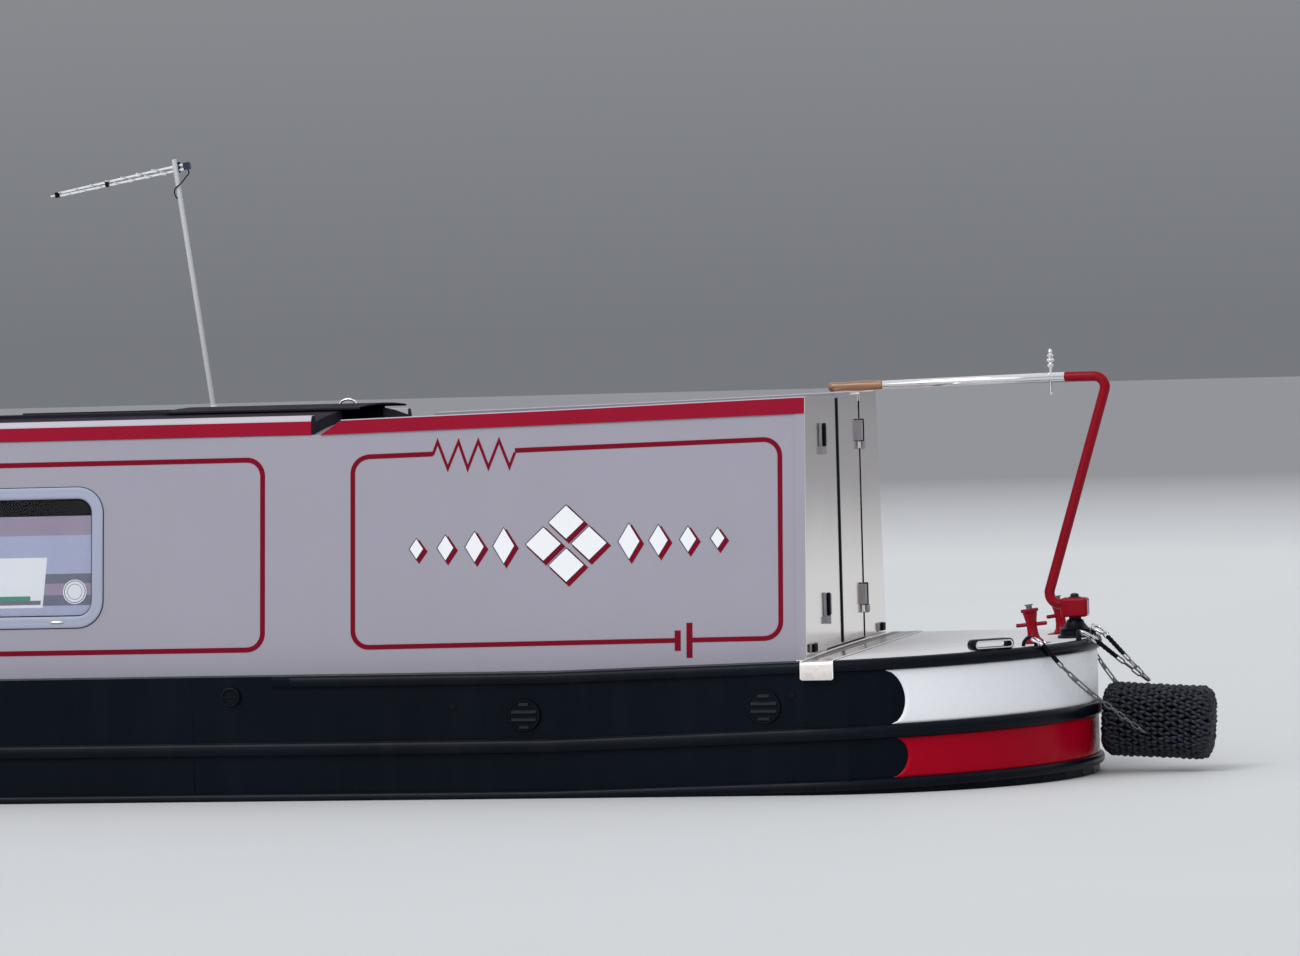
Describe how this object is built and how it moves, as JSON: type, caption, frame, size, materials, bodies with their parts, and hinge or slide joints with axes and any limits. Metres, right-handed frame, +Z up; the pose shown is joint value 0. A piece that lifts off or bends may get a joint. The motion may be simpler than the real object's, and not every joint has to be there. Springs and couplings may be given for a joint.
{
  "type": "steel narrowboat",
  "caption": "Narrow steel canal boat with a long cabin, a steering cockpit between doors, swan-neck tiller, rudder, propeller, sliding hatch and rope fenders.",
  "frame": {"origin": "middle of the boat's length over its fenders, on its centre line, at the baseplate's underside", "axes": "+X to the stern, +Y to starboard, +Z up"},
  "size_m": [15.86, 2.0846, 3.1938],
  "materials": {
    "hull_black": "satin bitumen black with a gloss band above",
    "engine_green": "engine enamel",
    "cabin_wood": "varnished boards",
    "cabin_grey": "satin warm grey coach enamel",
    "window_frame": "bright anodised frame round dark glass",
    "roof_grey": "dark grey with a non-slip grain",
    "floor_rubber": "ribbed deck covering",
    "lid_grey": "satin grey enamel",
    "stainless": "polished and brushed",
    "red_paint": "gloss crimson enamel",
    "tiller_chrome": "polished",
    "tiller_wood": "varnished turned hardwood",
    "propeller_bronze": "dull bronze",
    "fender_rope": "tarred black rope",
    "chain_steel": "galvanised",
    "aerial_alloy": "dull alloy"
  },
  "bodies": {
    "hull": {"baseplate": "hull_black", "hull_side_port": "hull_black", "hull_side_starboard": "hull_black", "stern_section": "hull_black", "engine": "engine_green", "bow_section": "hull_black", "cabin_floor": "cabin_wood", "cabin_side_port": "cabin_grey", "cabin_side_starboard": "cabin_grey", "window_port_1": "window_frame", "window_port_2": "window_frame", "window_port_3": "window_frame", "window_port_4": "window_frame", "window_starboard_1": "window_frame", "window_starboard_2": "window_frame", "window_starboard_3": "window_frame", "window_starboard_4": "window_frame", "roof": "roof_grey", "cockpit_floor": "floor_rubber", "locker_port": "cabin_grey", "locker_starboard": "cabin_grey", "aft_bulkhead": "cabin_grey", "fore_bulkhead": "cabin_grey", "stern_panel_port": "stainless", "stern_panel_starboard": "stainless", "sill_plate": "stainless", "dolly_port": "red_paint", "dolly_starboard": "red_paint", "fairlead": "stainless", "stern_fender": "fender_rope", "fender_chain_port": "chain_steel", "fender_chain_starboard": "chain_steel", "fender_chain_centre": "chain_steel", "t_stud": "red_paint", "bow_fender": "fender_rope", "bow_chain_port": "chain_steel", "bow_chain_starboard": "chain_steel", "headlamp": "tiller_chrome", "aerial": "aerial_alloy"},
    "rudder": {"rudder": "red_paint", "swan_neck": "red_paint", "tiller_bar": "tiller_chrome", "tiller_grip": "tiller_wood"},
    "propeller": {"propeller": "propeller_bronze"},
    "stern_door_port": {"stern_door_port": "stainless"},
    "stern_door_starboard": {"stern_door_starboard": "stainless"},
    "cabin_door_port": {"cabin_door_port": "cabin_grey"},
    "cabin_door_starboard": {"cabin_door_starboard": "cabin_grey"},
    "bow_door_port": {"bow_door_port": "cabin_grey"},
    "bow_door_starboard": {"bow_door_starboard": "cabin_grey"},
    "hatch": {"hatch": "roof_grey"},
    "locker_lid_port": {"locker_lid_port": "lid_grey"},
    "locker_lid_starboard": {"locker_lid_starboard": "lid_grey"},
    "engine_hatch": {"engine_hatch": "floor_rubber"},
    "gas_locker_lid": {"gas_locker_lid": "lid_grey"}
  },
  "joints": [
    {"name": "rudder", "type": "hinge", "parent": "hull", "child": "rudder", "pos_m": [7.375, 0, 0.3], "axis": [0, 0, 1], "range_deg": [-60, 60]},
    {"name": "propeller", "type": "hinge", "parent": "hull", "child": "propeller", "pos_m": [6.953, 0, 0.3], "axis": [1, 0, 0], "continuous": true},
    {"name": "stern_door_port", "type": "hinge", "parent": "hull", "child": "stern_door_port", "pos_m": [6.46, -0.45, 1.6], "axis": [0, 0, -1], "range_deg": [0, 165]},
    {"name": "stern_door_starboard", "type": "hinge", "parent": "hull", "child": "stern_door_starboard", "pos_m": [6.46, 0.405, 1.6], "axis": [0, 0, 1], "range_deg": [0, 165]},
    {"name": "cabin_door_port", "type": "hinge", "parent": "hull", "child": "cabin_door_port", "pos_m": [4.52, -0.306, 1.4], "axis": [0, 0, -1], "range_deg": [0, 95]},
    {"name": "cabin_door_starboard", "type": "hinge", "parent": "hull", "child": "cabin_door_starboard", "pos_m": [4.52, 0.306, 1.4], "axis": [0, 0, 1], "range_deg": [0, 95]},
    {"name": "bow_door_port", "type": "hinge", "parent": "hull", "child": "bow_door_port", "pos_m": [-5.1, -0.296, 1.3], "axis": [0, 0, 1], "range_deg": [0, 165]},
    {"name": "bow_door_starboard", "type": "hinge", "parent": "hull", "child": "bow_door_starboard", "pos_m": [-5.1, 0.296, 1.3], "axis": [0, 0, -1], "range_deg": [0, 165]},
    {"name": "hatch", "type": "slide", "parent": "hull", "child": "hatch", "axis": [-1, 0, 0], "range_m": [0, 0.8]},
    {"name": "locker_lid_port", "type": "hinge", "parent": "hull", "child": "locker_lid_port", "pos_m": [5.465, -0.842, 1.145], "axis": [1, 0, 0], "range_deg": [0, 80]},
    {"name": "locker_lid_starboard", "type": "hinge", "parent": "hull", "child": "locker_lid_starboard", "pos_m": [5.465, 0.842, 1.145], "axis": [-1, 0, 0], "range_deg": [0, 80]},
    {"name": "engine_hatch", "type": "hinge", "parent": "hull", "child": "engine_hatch", "pos_m": [5.874, 0, 0.744], "axis": [0, 1, 0], "range_deg": [0, 80]},
    {"name": "gas_locker_lid", "type": "hinge", "parent": "hull", "child": "gas_locker_lid", "pos_m": [-6.656, 0, 1.2275], "axis": [0, 1, 0], "range_deg": [0, 95]}
  ]
}
